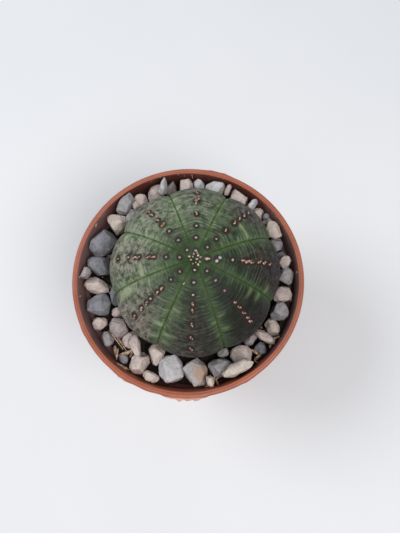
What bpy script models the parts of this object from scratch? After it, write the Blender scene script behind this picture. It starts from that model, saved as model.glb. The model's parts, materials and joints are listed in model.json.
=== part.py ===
"""A globe-shaped ribbed spurge (Euphorbia obesa) growing in a small round plastic pot.

The pot holds a plug of potting mix, the plant stands in the mix on its tap root, and a layer
of loose stones covers the mix, with a few dry bits of stem and husk on it.

Metres, +Z up. The origin is the middle of the pot's foot, on the surface that it stands on.
Angles on the pot run anticlockwise from +X, as seen from above.
"""

import math
import random

import bmesh
import bpy
from mathutils import Matrix, Vector
from mathutils.bvhtree import BVHTree

MM = 0.001
GAP = 0.3 * MM  # air left between pieces that touch

# Pot
RIM_RADIUS = 27.5 * MM
POT_HEIGHT = 48 * MM
FOOT_RADIUS = 19 * MM
WALL = 0.9 * MM
COLLAR_HEIGHT = 8.0 * MM
COLLAR_STEP = 0.9 * MM  # how far the collar stands out from the wall below it
RIM_WIDTH = 1.5 * MM
COLLAR_TAPER = 0.45 * MM  # how much the inside of the collar narrows downwards
LEDGE = 0.6 * MM  # height of the step inside, at the foot of the collar
RIM_ROUND = 0.45 * MM
FOOT_RING_WIDTH = 2.4 * MM
FLOOR_LIFT = 1.4 * MM  # hollow under the floor, inside the foot ring
FLOOR = 1.1 * MM
DRAIN_HOLES = 6
DRAIN_RADIUS = 2.5 * MM
DRAIN_CIRCLE = 10.5 * MM
FOOT_NOTCHES = 3
NOTCH_WIDTH = 3.0 * MM
NOTCH_HEIGHT = 0.7 * MM
POT_SIDES = 60

# Plant
PLANT_RADIUS = 19.8 * MM
PLANT_OFFSET = Vector((1.7, 1.3, 0)) * MM  # it doesn't stand quite in the middle
EQUATOR_ABOVE_RIM = 1.5 * MM
CROWN_HEIGHT = 12.2 * MM  # widest part to the top
CROWN_DIP = 0.7 * MM
CROWN_DIP_RADIUS = 2.6 * MM
UNDERSIDE_DEPTH = 14.5 * MM  # widest part to where the body would close below
SQUARENESS = 2.3  # exponent of the body's superellipse: 2 is round
NECK_RADIUS = 5.5 * MM
ROOT_LENGTH = 17 * MM
ROOT_TIP_RADIUS = 1.2 * MM
RIBS = 8
RIB_DEPTH = 0.8 * MM
RIB_SEGMENTS = 8
CROWN_RINGS = 9
UNDERSIDE_RINGS = 7
ROOT_RINGS = 3

# Potting mix
MIX_BELOW_RIM = 5.6 * MM
MIX_BANK = 0.9 * MM  # how much higher than its middle the mix lies at the wall on the +Y side
MIX_BUMP = 0.3 * MM
MIX_SIDES = 48
MIX_RINGS = 4

# Loose stones, settled in this order: kind, colour, angle on the pot in degrees, reach across the
# space from the plant (0) to the wall (1), length, width, height in mm, and how far the
# length is turned from pointing straight out, in degrees.
STONES = (
    ("block", "pale", 73.5, 1.0, 4.5, 3.8, 4.9, 90),
    ("block", "sand", 58.3, 1.0, 5.0, 3.8, 4.4, 85),
    ("block", "sand", 91.5, 1.0, 3.8, 3.6, 4.5, 0),
    ("pebble", "sand", 110.5, 1.0, 4.6, 3.6, 4.2, -28),
    ("pebble", "sand", 120.5, 0.9, 4.6, 3.4, 4.0, -30),
    ("wedge", "cream", 141, 1.0, 5.0, 4.4, 4.4, -5),
    ("block", "slate", 154, 1.0, 6.4, 5.1, 4.9, 70),
    ("wedge", "slate", 168.5, 0.9, 5.7, 4.7, 3.6, -12),
    ("pebble", "sand", 181.5, 0.9, 5.5, 3.6, 3.7, -15),
    ("wedge", "slate", 193, 1.0, 5.8, 5.0, 3.9, 0),
    ("block", "mauve", 214, 0.3, 4.6, 3.8, 3.4, 80),
    ("block", "sand", 224.5, 0.2, 3.8, 2.9, 3.0, 10),
    ("pebble", "sand", 240, 1.0, 5.1, 4.2, 3.9, 15),
    ("block", "pale", 259.5, 0.8, 6.3, 5.2, 3.9, 20),
    ("block", "rust", 274.5, 0.5, 5.9, 5.0, 4.0, 25),
    ("block", "grey", 289.5, 0.45, 5.4, 3.9, 3.8, 78),
    ("pebble", "sand", 305.5, 0.3, 4.7, 4.7, 3.9, -15),
    ("wedge", "sand", 248, 0.05, 4.7, 3.6, 3.4, 10),
    ("block", "grey", 341, 1.0, 4.2, 3.9, 3.7, 10),
    ("block", "sand", 352.5, 0.9, 4.0, 3.5, 3.7, 20),
    ("block", "grey", 3.5, 0.7, 3.9, 3.6, 3.4, 60),
    ("block", "sand", 43.7, 0.9, 3.4, 3.1, 3.5, 10),
    ("pebble", "cream", 333, 0.9, 4.3, 3.0, 3.2, -40),
    ("wedge", "slate", 316.5, 1.0, 2.9, 2.9, 3.0, 0),
    ("block", "mauve", 315.5, 0.0, 3.5, 2.1, 3.0, 90),
    ("slab", "sand", 324, 0.7, 5.1, 1.9, 2.9, 5),
    ("wedge", "mauve", 98, 0.9, 4.1, 2.3, 4.4, -10),
    ("block", "pale", 82.7, 0.9, 3.5, 2.4, 3.7, 10),
    ("slab", "slate", 192, 0.0, 4.5, 1.9, 3.0, 85),
    ("block", "sand", 204, 0.2, 2.5, 1.9, 2.8, 0),
    ("pebble", "sand", 204.5, 1.0, 3.3, 3.1, 3.0, 0),
    ("pebble", "grey", 216, 1.0, 3.2, 2.6, 2.6, 80),
    ("wedge", "sand", 232.5, 0.0, 4.9, 2.2, 2.8, 56),
    ("slab", "cream", 250, 1.0, 3.9, 2.0, 2.2, 85),
    ("pebble", "slate", 230.5, 1.0, 2.5, 2.0, 2.2, 70),
    ("pebble", "grey", 22.5, 0.4, 3.4, 3.2, 3.1, 60),
    ("block", "slate", 14.5, 0.6, 2.9, 2.4, 2.9, 0),
    ("slab", "pale", 29.5, 0.6, 4.4, 1.8, 2.5, -38),
    ("pebble", "cream", 36.5, 0.0, 2.6, 2.2, 2.3, 80),
    ("block", "pale", 134, 0.0, 2.9, 2.2, 2.9, 90),
    ("block", "sand", 127.5, 0.1, 2.2, 1.6, 2.8, 0),
    ("block", "grey", 297, 0.0, 2.8, 1.8, 2.4, 80),
    ("block", "sand", 66, 0.8, 2.8, 1.1, 3.2, 0),
    ("slab", "pale", 50, 1.0, 3.7, 1.3, 3.2, 5),
    ("block", "cream", 281.5, 1.0, 2.4, 1.6, 2.2, 0),
    ("pebble", "slate", 40, 1.0, 1.7, 1.4, 2.0, 0),
    ("block", "mauve", 175.5, 1.0, 2.9, 1.9, 2.4, 70),
    ("block", "sand", 10, 0.9, 2.7, 2.4, 2.8, 20),
    ("wedge", "pale", 103.5, 1.0, 4.2, 1.8, 3.6, -20),
    ("pebble", "cream", 33.5, 1.0, 4.9, 3.1, 2.5, 85),
    ("slab", "cream", 299, 1.0, 6.9, 2.6, 2.6, 88),
    ("pebble", "grey", 129, 1.0, 5.8, 3.0, 2.7, -68),
)

# Dry litter, settled on the stones in the same way
LITTER = (
    ("dry_stem", 222, 0.55, 6.0, 0.6, 0.6, 84),
    ("dry_husk_long", 224, 1.0, 3.2, 0.9, 0.8, 60),
    ("dry_husk_split", 230.5, 0.6, 3.4, 1.0, 0.8, 10),
    ("dry_husk_curl", 162, 0.2, 2.6, 1.4, 1.0, 20),
    ("dry_chip", 329.5, 1.0, 2.6, 0.8, 0.6, -35),
)

# What each kind of stone is cut from: corners, squareness of the block, unevenness, taper
KINDS = {
    "pebble": (30, 2.3, 0.04, 0.0),
    "block": (22, 3.6, 0.07, 0.15),
    "slab": (20, 3.6, 0.05, 0.1),
    "wedge": (20, 3.0, 0.06, 0.6),
    "sliver": (14, 2.4, 0.05, 0.5),
}
LEAN = math.radians(12)
SETTLE_STEP = 0.12 * MM
SETTLE_SHIFTS = (0.0, 0.5 * MM, 1.0 * MM, 1.5 * MM, 2.0 * MM)
SETTLE_WAYS = 8
SHIFT_COST = 0.6  # how much lower a stone must come to rest to be worth moving aside

COLOURS = {
    "terracotta": (0.42, 0.125, 0.065),
    "mix": (0.03, 0.022, 0.017),
    "skin": (0.085, 0.13, 0.06),
    "sand": (0.47, 0.38, 0.31),
    "cream": (0.56, 0.46, 0.36),
    "pale": (0.4, 0.38, 0.37),
    "grey": (0.27, 0.27, 0.28),
    "slate": (0.13, 0.135, 0.15),
    "mauve": (0.24, 0.2, 0.2),
    "rust": (0.4, 0.27, 0.18),
    "straw": (0.4, 0.25, 0.14),
}
ROUGHNESS = {"terracotta": 0.45, "skin": 0.55}
STONE_ROUGHNESS = 0.85


def material(name):
    """The material of that colour, made once."""
    found = bpy.data.materials.get(name)
    if found:
        return found
    made = bpy.data.materials.new(name)
    made.use_nodes = True
    shader = made.node_tree.nodes["Principled BSDF"]
    shader.inputs["Base Color"].default_value = (*COLOURS[name], 1)
    shader.inputs["Roughness"].default_value = ROUGHNESS.get(name, STONE_ROUGHNESS)
    shader.inputs["Metallic"].default_value = 0.0
    made.diffuse_color = (*COLOURS[name], 1)
    return made


def object_from(bm, name, colour, smooth_below=None):
    """A named object holding the shape, facing outwards, smooth where its faces meet flatter than the angle."""
    bmesh.ops.recalc_face_normals(bm, faces=bm.faces)
    mesh = bpy.data.meshes.new(name)
    bm.to_mesh(mesh)
    bm.free()
    obj = bpy.data.objects.new(name, mesh)
    bpy.context.scene.collection.objects.link(obj)
    mesh.materials.append(material(colour))
    if smooth_below is not None:
        mesh.shade_smooth()
        mesh.set_sharp_from_angle(angle=smooth_below)
    return obj


def ringed(outline, sides, point_at, closed):
    """A shape of rings, one for each (radius, height) of the outline, or a single point where the radius is 0.

    point_at(radius, height, angle) places each point. A closed outline joins its last ring to its first.
    """
    bm = bmesh.new()
    rings = []
    for radius, height in outline:
        count = 1 if radius == 0 else sides
        rings.append([bm.verts.new(point_at(radius, height, math.tau * i / sides)) for i in range(count)])
    pairs = list(zip(rings, rings[1:]))
    if closed:
        pairs.append((rings[-1], rings[0]))
    for lower, upper in pairs:
        if len(lower) == len(upper) == 1:
            continue
        for i in range(sides):
            j = (i + 1) % sides
            corners = [lower[i % len(lower)], lower[j % len(lower)], upper[j % len(upper)], upper[i % len(upper)]]
            bm.faces.new(list(dict.fromkeys(corners)))
    return bm


def on_circle(radius, height, angle):
    return Vector((radius * math.cos(angle), radius * math.sin(angle), height))


def cutter(bm, name, target):
    """Hides the shape and cuts it out of the target."""
    tool = object_from(bm, name, "terracotta")
    tool.hide_render = True
    tool.display_type = "WIRE"
    cut = target.modifiers.new(name, "BOOLEAN")
    cut.operation = "DIFFERENCE"
    cut.object = tool


# Pot


def wall_radius(height):
    """Outside of the pot's tapering wall, without its collar."""
    return FOOT_RADIUS + (RIM_RADIUS - COLLAR_STEP - FOOT_RADIUS) * height / POT_HEIGHT


COLLAR_BASE = POT_HEIGHT - COLLAR_HEIGHT
FLOOR_TOP = FLOOR_LIFT + FLOOR


def inside_radius(height):
    """Inside of the pot. The collar is wider than the wall below it, which leaves a small ledge."""
    if height <= COLLAR_BASE:
        return wall_radius(height) - WALL
    return RIM_RADIUS - RIM_WIDTH - COLLAR_TAPER * (POT_HEIGHT - height) / COLLAR_HEIGHT


def pot_outline():
    """The wall's section, from the foot up the outside, over the rim and down the inside."""
    slope = COLLAR_STEP / 2
    rim_middle = RIM_RADIUS - 0.62 * RIM_WIDTH
    groove = 0.12 * RIM_WIDTH
    return [
        (FOOT_RADIUS - RIM_ROUND, 0),
        (wall_radius(RIM_ROUND), RIM_ROUND),
        (wall_radius(COLLAR_BASE), COLLAR_BASE),
        (wall_radius(COLLAR_BASE) + COLLAR_STEP, COLLAR_BASE + slope),
        (RIM_RADIUS, POT_HEIGHT - RIM_ROUND),
        (RIM_RADIUS - RIM_ROUND / 3, POT_HEIGHT - RIM_ROUND / 3),
        (RIM_RADIUS - RIM_ROUND, POT_HEIGHT),
        (rim_middle + groove, POT_HEIGHT),
        (rim_middle, POT_HEIGHT - groove),
        (rim_middle - groove, POT_HEIGHT - groove / 2),
        (inside_radius(POT_HEIGHT), POT_HEIGHT - groove),
        (inside_radius(COLLAR_BASE + LEDGE), COLLAR_BASE + LEDGE),
        (inside_radius(COLLAR_BASE), COLLAR_BASE),
        (inside_radius(FLOOR_TOP), FLOOR_TOP),
        (0, FLOOR_TOP),
        (0, FLOOR_LIFT),
        (FOOT_RADIUS - FOOT_RING_WIDTH, FLOOR_LIFT),
        (FOOT_RADIUS - FOOT_RING_WIDTH, 0),
    ]


def drain_tools():
    """Upright pins for the drain holes, and blocks for the notches that let water out under the foot ring."""
    bm = bmesh.new()
    for i in range(DRAIN_HOLES):
        place = Matrix.Translation(on_circle(DRAIN_CIRCLE, FLOOR_LIFT + FLOOR / 2, math.tau * i / DRAIN_HOLES))
        bmesh.ops.create_cone(
            bm, cap_ends=True, segments=16, radius1=DRAIN_RADIUS, radius2=DRAIN_RADIUS,
            depth=4 * FLOOR, matrix=place,
        )
    for i in range(FOOT_NOTCHES):
        angle = math.tau * (i + 0.5) / FOOT_NOTCHES
        middle = on_circle(FOOT_RADIUS - FOOT_RING_WIDTH / 2, 0, angle)
        size = Matrix.Diagonal((2.5 * FOOT_RING_WIDTH, NOTCH_WIDTH, 2 * NOTCH_HEIGHT, 1))
        bmesh.ops.create_cube(bm, size=1, matrix=Matrix.Translation(middle) @ Matrix.Rotation(angle, 4, "Z") @ size)
    return bm


def make_pot():
    pot = object_from(ringed(pot_outline(), POT_SIDES, on_circle, True), "pot", "terracotta", math.radians(40))
    cutter(drain_tools(), "drain_tool", pot)
    return pot


# Plant

EQUATOR = POT_HEIGHT + EQUATOR_ABOVE_RIM


def body_arc(turn, height):
    """(radius, height above the widest part) on the body's superellipse, at a turn from 0 at the widest part."""
    power = 2 / SQUARENESS
    return PLANT_RADIUS * abs(math.cos(turn)) ** power, height * math.sin(turn) ** power


def plant_outline():
    """From the middle of the crown over the widest part, down to the neck and along the tap root."""
    outline = [(0, EQUATOR + CROWN_HEIGHT - CROWN_DIP)]
    for i in range(1, CROWN_RINGS):
        radius, rise = body_arc(math.pi / 2 * (1 - i / CROWN_RINGS), CROWN_HEIGHT)
        dip = CROWN_DIP * math.exp(-((radius / CROWN_DIP_RADIUS) ** 2))
        outline.append((radius, EQUATOR + rise - dip))
    for i in range(UNDERSIDE_RINGS):
        radius, drop = body_arc(math.pi / 2 * i / UNDERSIDE_RINGS, UNDERSIDE_DEPTH)
        if radius > NECK_RADIUS:
            outline.append((radius, EQUATOR - drop))
    neck = outline[-1][1] - 0.2 * UNDERSIDE_DEPTH
    for i in range(ROOT_RINGS + 1):
        share = i / ROOT_RINGS
        outline.append((NECK_RADIUS + (ROOT_TIP_RADIUS - NECK_RADIUS) * share**0.7, neck - ROOT_LENGTH * share))
    outline.append((0, outline[-1][1]))
    return outline


def rib_inset(radius, angle):
    """How far the skin lies inside the crest of a rib: 0 on the crest, deepest in the crease between two ribs."""
    across = angle * RIBS / math.tau
    from_crest = abs(across - round(across)) * 2
    share = radius / PLANT_RADIUS
    fade = share * share * (3 - 2 * share)
    return RIB_DEPTH * fade * from_crest**1.7


def on_plant(radius, height, angle):
    return on_circle(radius - rib_inset(radius, angle), height, angle) + PLANT_OFFSET


def make_plant():
    bm = ringed(plant_outline(), RIBS * RIB_SEGMENTS, on_plant, False)
    return object_from(bm, "plant", "skin", math.radians(50))


# Potting mix


def mix_height(point):
    """Height of the potting mix's surface, which lies a little higher towards +Y."""
    return POT_HEIGHT - MIX_BELOW_RIM + MIX_BANK * point.y / RIM_RADIUS


def make_mix():
    """A plug that follows the inside of the pot, with its bumpy surface and a pocket for the plant cut out."""
    plug = [
        (0, FLOOR_TOP + GAP),
        (inside_radius(FLOOR_TOP) - GAP, FLOOR_TOP + GAP),
        (inside_radius(COLLAR_BASE) - GAP, COLLAR_BASE),
        (inside_radius(COLLAR_BASE + LEDGE) - GAP, COLLAR_BASE + LEDGE + GAP),
        (inside_radius(POT_HEIGHT) - GAP, POT_HEIGHT),
        (0, POT_HEIGHT),
    ]
    mix = object_from(ringed(plug, MIX_SIDES, on_circle, False), "potting_mix", "mix")

    bumps = random.Random(7)
    above = [(RIM_RADIUS * i / MIX_RINGS, 0) for i in range(MIX_RINGS + 1)]
    above += [(RIM_RADIUS, 2 * POT_HEIGHT), (0, 2 * POT_HEIGHT)]

    def over_surface(radius, height, angle):
        point = on_circle(radius, height, angle)
        if height == 0:
            point.z = mix_height(point) + bumps.uniform(-MIX_BUMP, MIX_BUMP)
        return point

    cutter(ringed(above, MIX_SIDES, over_surface, False), "mix_surface_tool", mix)

    buried = [(radius, height) for radius, height in plant_outline() if height < EQUATOR and radius > 0]
    pocket = [(0, EQUATOR), (buried[0][0] + GAP, EQUATOR)]
    pocket += [(radius + GAP, height - GAP) for radius, height in buried]
    pocket.append((0, buried[-1][1] - GAP))

    def round_the_plant(radius, height, angle):
        return on_circle(radius, height, angle) + PLANT_OFFSET

    cutter(ringed(pocket, MIX_SIDES, round_the_plant, False), "root_pocket_tool", mix)
    return mix


# Stones and litter


def plant_reach(angle):
    """How far the plant's body comes out from the pot's axis in that direction, at the level of the stones."""
    level = (EQUATOR_ABOVE_RIM + 0.8 * MIX_BELOW_RIM) / UNDERSIDE_DEPTH
    body = PLANT_RADIUS * max(0.0, 1 - level**SQUARENESS) ** (1 / SQUARENESS)
    aside = PLANT_OFFSET.x * math.cos(angle) + PLANT_OFFSET.y * math.sin(angle)
    return body + aside


def stone_shape(kind, length, width, height, seed):
    """A convex stone of that size about its middle, its length along X, cut from an uneven rounded block."""
    corners, squareness, unevenness, taper = KINDS[kind]
    rng = random.Random(seed)
    spin = rng.uniform(0, math.tau)
    points = []
    for i in range(corners):
        z = 1 - (2 * i + 1) / corners
        turn = spin + i * math.pi * (3 - math.sqrt(5))
        ring = math.sqrt(1 - z * z)
        way = Vector((ring * math.cos(turn), ring * math.sin(turn), z))
        reach = sum(abs(c) ** squareness for c in way) ** (-1 / squareness)
        point = way * reach * (1 + rng.uniform(-unevenness, unevenness))
        narrowing = 1 - taper * (point.x + 1) / 2
        points.append(Vector((point.x, point.y * narrowing, point.z * (1 + narrowing) / 2)))
    low = Vector(min(p[k] for p in points) for k in range(3))
    high = Vector(max(p[k] for p in points) for k in range(3))
    size = Vector((length, width, height))
    bm = bmesh.new()
    for point in points:
        bm.verts.new(Vector((point[k] - (low[k] + high[k]) / 2) / (high[k] - low[k]) * size[k] for k in range(3)))
    hull = bmesh.ops.convex_hull(bm, input=bm.verts)
    loose = {v for v in hull["geom_interior"] if isinstance(v, bmesh.types.BMVert)}
    bmesh.ops.delete(bm, geom=list(loose), context="VERTS")
    lean = Matrix.Rotation(rng.uniform(-LEAN, LEAN), 4, "X") @ Matrix.Rotation(rng.uniform(-LEAN, LEAN), 4, "Y")
    bmesh.ops.transform(bm, matrix=lean, verts=bm.verts)
    bmesh.ops.recalc_face_normals(bm, faces=bm.faces)
    return bm


class Bed:
    """Everything that is already in the pot, as one set of faces that a new piece must stay clear of."""

    def __init__(self, objects):
        self.points = []
        self.faces = []
        graph = bpy.context.evaluated_depsgraph_get()
        for obj in objects:
            mesh = obj.evaluated_get(graph).to_mesh()
            self.add([v.co.copy() for v in mesh.vertices], [tuple(p.vertices) for p in mesh.polygons])

    def add(self, points, faces):
        first = len(self.points)
        self.points += points
        self.faces += [tuple(first + i for i in face) for face in faces]
        self.tree = BVHTree.FromPolygons(self.points, self.faces)

    def is_clear(self, points, faces):
        """Whether the piece neither cuts through anything nor lies wholly inside it."""
        if self.tree.overlap(BVHTree.FromPolygons(points, faces)):
            return False
        middle = sum(points, Vector()) / len(points)
        nearest, normal, _, _ = self.tree.find_nearest(middle)
        return (middle - nearest).dot(normal) > 0

    def rest_height(self, points, faces, place, lowest, highest):
        """The lowest height between the two at which the piece is clear, or None."""
        height = lowest
        while height < highest:
            moved = [p + Vector((place.x, place.y, height)) for p in points]
            if self.is_clear(moved, faces):
                return height
            height += SETTLE_STEP
        return None


def settle(bed, bm, name, colour, angle, reach):
    """Lays the shape in the pot at that angle and reach, in the lowest spot near there, and adds it to the bed."""
    out = Vector((math.cos(angle), math.sin(angle), 0))
    along = max(v.co.dot(out) for v in bm.verts)
    back = -min(v.co.dot(out) for v in bm.verts)
    thick = max(v.co.z for v in bm.verts) - min(v.co.z for v in bm.verts)
    inner = plant_reach(angle) + back + GAP
    rest = mix_height(out * (inner + back)) + 0.5 * thick
    outer = inside_radius(rest) - along - 2 * GAP
    middle = inner + (outer - inner) * reach
    bm.normal_update()
    faces = [tuple(v.index for v in face.verts) for face in bm.faces]
    swollen = [v.co + v.normal * GAP for v in bm.verts]
    cost = 3 * POT_HEIGHT
    for shift in SETTLE_SHIFTS:
        for i in range(SETTLE_WAYS if shift else 1):
            aside = out * middle + on_circle(shift, 0, angle + math.tau * i / SETTLE_WAYS)
            low = mix_height(aside) + thick / 3
            height = bed.rest_height(swollen, faces, aside, low, cost - SHIFT_COST * shift)
            if height is not None:
                cost = height + SHIFT_COST * shift
                place = Vector((aside.x, aside.y, height))
    bed.add([v.co + place for v in bm.verts], faces)
    obj = object_from(bm, name, colour)
    obj.location = place
    return obj


def make_stones(bed):
    for number, (kind, colour, degrees, reach, length, width, height, turn) in enumerate(STONES, 1):
        angle = math.radians(degrees)
        bm = stone_shape(kind, length * MM, width * MM, height * MM, number)
        bmesh.ops.transform(bm, matrix=Matrix.Rotation(angle + math.radians(turn), 4, "Z"), verts=bm.verts)
        bm.verts.index_update()
        settle(bed, bm, f"stone_{number:02d}", colour, angle, reach)


def make_litter(bed):
    for number, (name, degrees, reach, length, width, height, turn) in enumerate(LITTER):
        angle = math.radians(degrees)
        bm = stone_shape("sliver", length * MM, width * MM, height * MM, 100 + number)
        bmesh.ops.transform(bm, matrix=Matrix.Rotation(angle + math.radians(turn), 4, "Z"), verts=bm.verts)
        bm.verts.index_update()
        settle(bed, bm, name, "straw", angle, reach)


def main():
    for obj in list(bpy.data.objects):
        bpy.data.objects.remove(obj)
    bed = Bed([make_pot(), make_plant(), make_mix()])
    make_stones(bed)
    make_litter(bed)


main()
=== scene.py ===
# %% [markdown]
# # A ball euphorbia in a small nursery pot
# The real thing is a round, spineless succulent with eight ribs, bedded in gravel in a 55 mm
# plastic pot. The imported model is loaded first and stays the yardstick: its boxes give the sizes
# of the pot and the plant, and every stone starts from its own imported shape. Marks too small for
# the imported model, such as scars and husk flakes, are listed in tables where they are used.

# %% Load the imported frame
import json
import math
import random

import bmesh
import bpy
import numpy as np
from mathutils import Euler, Matrix, Vector, noise

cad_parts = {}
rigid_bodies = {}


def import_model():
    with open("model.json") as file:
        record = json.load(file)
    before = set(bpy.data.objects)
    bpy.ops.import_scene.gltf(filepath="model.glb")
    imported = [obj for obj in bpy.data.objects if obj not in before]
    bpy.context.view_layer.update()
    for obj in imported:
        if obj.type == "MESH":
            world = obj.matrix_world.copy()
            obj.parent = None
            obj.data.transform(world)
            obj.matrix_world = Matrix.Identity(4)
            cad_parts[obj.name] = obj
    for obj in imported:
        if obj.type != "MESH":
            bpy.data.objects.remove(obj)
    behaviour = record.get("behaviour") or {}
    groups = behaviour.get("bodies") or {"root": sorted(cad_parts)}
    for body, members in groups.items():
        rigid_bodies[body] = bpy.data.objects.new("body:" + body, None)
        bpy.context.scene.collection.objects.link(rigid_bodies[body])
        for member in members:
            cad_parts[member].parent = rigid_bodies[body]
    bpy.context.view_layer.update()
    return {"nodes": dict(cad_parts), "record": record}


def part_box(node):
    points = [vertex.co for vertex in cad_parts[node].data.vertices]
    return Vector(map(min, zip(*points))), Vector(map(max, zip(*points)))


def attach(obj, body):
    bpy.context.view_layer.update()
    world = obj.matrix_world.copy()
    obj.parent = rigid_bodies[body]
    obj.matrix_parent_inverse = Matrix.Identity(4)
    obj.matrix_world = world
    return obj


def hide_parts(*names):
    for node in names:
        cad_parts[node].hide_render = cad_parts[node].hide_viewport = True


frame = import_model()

MM = 0.001
slot_of = {part["node"]: part["material_slot"] for part in frame["record"]["subparts"]}
pot_low, pot_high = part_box("pot")
plant_low, plant_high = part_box("plant")
RIM_RADIUS = (pot_high.x - pot_low.x) / 2 / MM
POT_HEIGHT = pot_high.z / MM
PLANT_RADIUS = (plant_high.x - plant_low.x) / 2 / MM
PLANT_TOP = plant_high.z / MM
PLANT_MIDDLE = (plant_low + plant_high) / 2 / MM
print("pot:", round(RIM_RADIUS, 2), "mm radius,", round(POT_HEIGHT, 2), "mm high")
print("plant:", round(PLANT_RADIUS, 2), "mm radius, top at", round(PLANT_TOP, 2), "mm")

# %% [markdown]
# ## Camera
# The view is almost straight down, tipped about 11 degrees towards the near side, so the far inside
# wall of the pot hardly shows and the near rim shows its outer lip. A normal lens close by gives
# the same widening of the rim against the foot as the eye sees when leaning over the pot.

# %% Camera over the pot
AIM = Vector((2.9, 2.8, 48)) * MM
TIP_BACK, TIP_SIDE, DISTANCE = 11.2, 0.9, 126.2 * MM

camera = bpy.data.objects.new("camera", bpy.data.cameras.new("camera"))
bpy.context.scene.collection.objects.link(camera)
lean_side, lean_near = math.tan(math.radians(TIP_SIDE)), -math.tan(math.radians(TIP_BACK))
towards = Vector((lean_side, lean_near, 1)).normalized()
camera.location = AIM + towards * DISTANCE
right = Vector((0, 1, 0)).cross(towards).normalized()
camera.rotation_euler = Matrix((right, towards.cross(right), towards)).transposed().to_euler()
camera.data.sensor_width = camera.data.lens = 36
camera.data.clip_start, camera.data.clip_end = 0.005, 10
bpy.context.scene.camera = camera
print("camera at", tuple(round(c / MM, 1) for c in camera.location), "mm")

# %% [markdown]
# ## Light
# The pot stands in a bright, overcast room. A sun or a point lamp would throw hard shadows, so
# two broad area lamps are used: a cool one high on the left gives the light its direction, and a
# warmer one high on the near right opens the shadows between the stones. The world's plain
# colour fills in everything else.

# %% Window light and fill
def lamp(name, place, size, power, colour):
    """A round area lamp that faces the pot; place and size in metres, power in watts."""
    light = bpy.data.lights.new(name, "AREA")
    light.shape, light.size, light.energy, light.color = "DISK", size, power, colour
    holder = bpy.data.objects.new(name, light)
    bpy.context.scene.collection.objects.link(holder)
    holder.location = place
    holder.rotation_euler = (Vector(place) - AIM).to_track_quat("Z", "Y").to_euler()


lamp("window", (-0.34, 0.12, 0.44), 0.28, 1.40, (0.97, 0.99, 1.0))
lamp("bounce", (0.16, -0.16, 0.50), 0.34, 1.8, (1.0, 0.97, 0.94))
world = bpy.data.worlds.new("pale_room")
world.use_nodes = True
sky = world.node_tree.nodes["Background"].inputs
sky["Color"].default_value = (0.86, 0.92, 1.0, 1)
sky["Strength"].default_value = 0.40
bpy.context.scene.world = world
bpy.context.scene.view_settings.view_transform = "Standard"
print("lamps:", len(bpy.data.lights), "world:", world.name)

# %% [markdown]
# ## A small language for node trees
# Both finishes and shapes are node trees here. Wiring sockets by hand hides the arithmetic, so a
# small class stands for one output socket and turns `a * b + 1` into Math nodes. The same class
# serves materials and Geometry Nodes, because both use the same Math node.

# %% One class for a socket
class Value:
    """One output of a node tree; arithmetic on it adds Math nodes."""

    def __init__(self, wires, socket):
        self.wires, self.socket = wires, socket

    def math(self, operation, *others):
        numbers = dict(enumerate((self, *others)))
        return self.wires.value("ShaderNodeMath", {"operation": operation}, numbers)

    def __add__(self, other): return self.math("ADD", other)
    def __sub__(self, other): return self.math("SUBTRACT", other)
    def __mul__(self, other): return self.math("MULTIPLY", other)
    def __truediv__(self, other): return self.math("DIVIDE", other)
    def __pow__(self, other): return self.math("POWER", other)
    def __neg__(self): return self * -1
    def __rsub__(self, other): return self * -1 + other
    def __rtruediv__(self, other): return self ** -1 * other
    __radd__, __rmul__ = __add__, __mul__

    def held(self):
        """The value kept between 0 and 1."""
        return self.math("MINIMUM", 1).math("MAXIMUM", 0)

    def between(self, low, high):
        """0 below low, 1 above high, eased in between."""
        ends = {"Value": self, "From Min": low, "From Max": high}
        return self.wires.value("ShaderNodeMapRange", {"interpolation_type": "SMOOTHSTEP"}, ends)


print("arithmetic on sockets ready")

# %% One class for a tree
class Wires:
    """A node tree that is written as expressions."""

    def __init__(self, tree):
        self.tree = tree

    def node(self, kind, settings=None, values=None):
        made = self.tree.nodes.new(kind)
        for name, setting in (settings or {}).items():
            setattr(made, name, setting)
        for key, value in (values or {}).items():
            socket = made.inputs[key]
            if isinstance(value, Value):
                self.tree.links.new(value.socket, socket)
            else:
                socket.default_value = value
        return made

    def value(self, kind, settings=None, values=None, output=0):
        return Value(self, self.node(kind, settings, values).outputs[output])

    def vector(self, x, y, z):
        return self.value("ShaderNodeCombineXYZ", {}, {0: x, 1: y, 2: z})

    def on_vector(self, operation, *vectors, **more):
        values = dict(enumerate(vectors)) | more
        return self.value("ShaderNodeVectorMath", {"operation": operation}, values)

    def parts(self, vector):
        split = self.node("ShaderNodeSeparateXYZ", {}, {0: vector})
        return [Value(self, socket) for socket in split.outputs]


print("tools for node trees ready")

# %% [markdown]
# ## How a finish is written
# Every finish starts from the piece's own coordinates in millimetres, so that a grain of 0.2 mm
# is written as 0.2. Noise of several sizes drives colour, roughness and bump; a plain number such
# as the shine's strength sits on the shader's own socket.

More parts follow.
